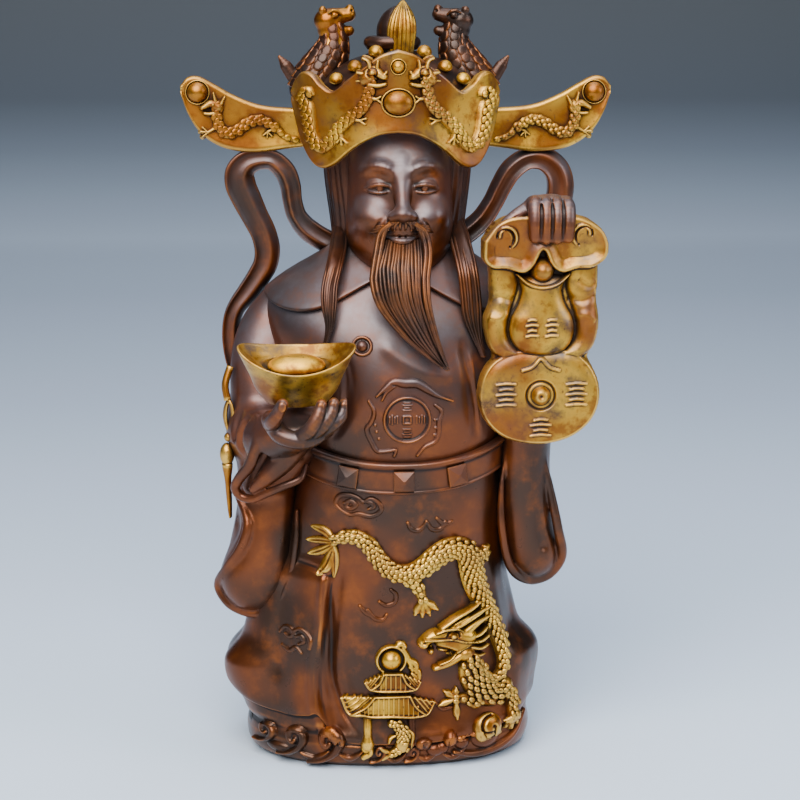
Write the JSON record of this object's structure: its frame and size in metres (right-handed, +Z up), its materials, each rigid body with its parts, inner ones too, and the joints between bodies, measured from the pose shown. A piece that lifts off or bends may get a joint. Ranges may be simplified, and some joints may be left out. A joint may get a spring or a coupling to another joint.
{
  "type": "caishen figure",
  "caption": "Standing god of wealth with a winged crown, lifting an ingot and a lucky gourd, a hollow cast brass table figure.",
  "frame": {"origin": "on the flat underside of the base, under the middle of the face", "axes": "+Z up, the figure faces -Y, its right hand with the ingot at -X"},
  "size_m": [0.192, 0.1156, 0.34],
  "materials": {
    "brown_patina": "glossy brown lacquered patina, worn orange on the edges",
    "gilding": "worn gilding with brown and orange stains"
  },
  "bodies": {
    "root": {"caishen_figure": "brown_patina"}
  },
  "joints": []
}
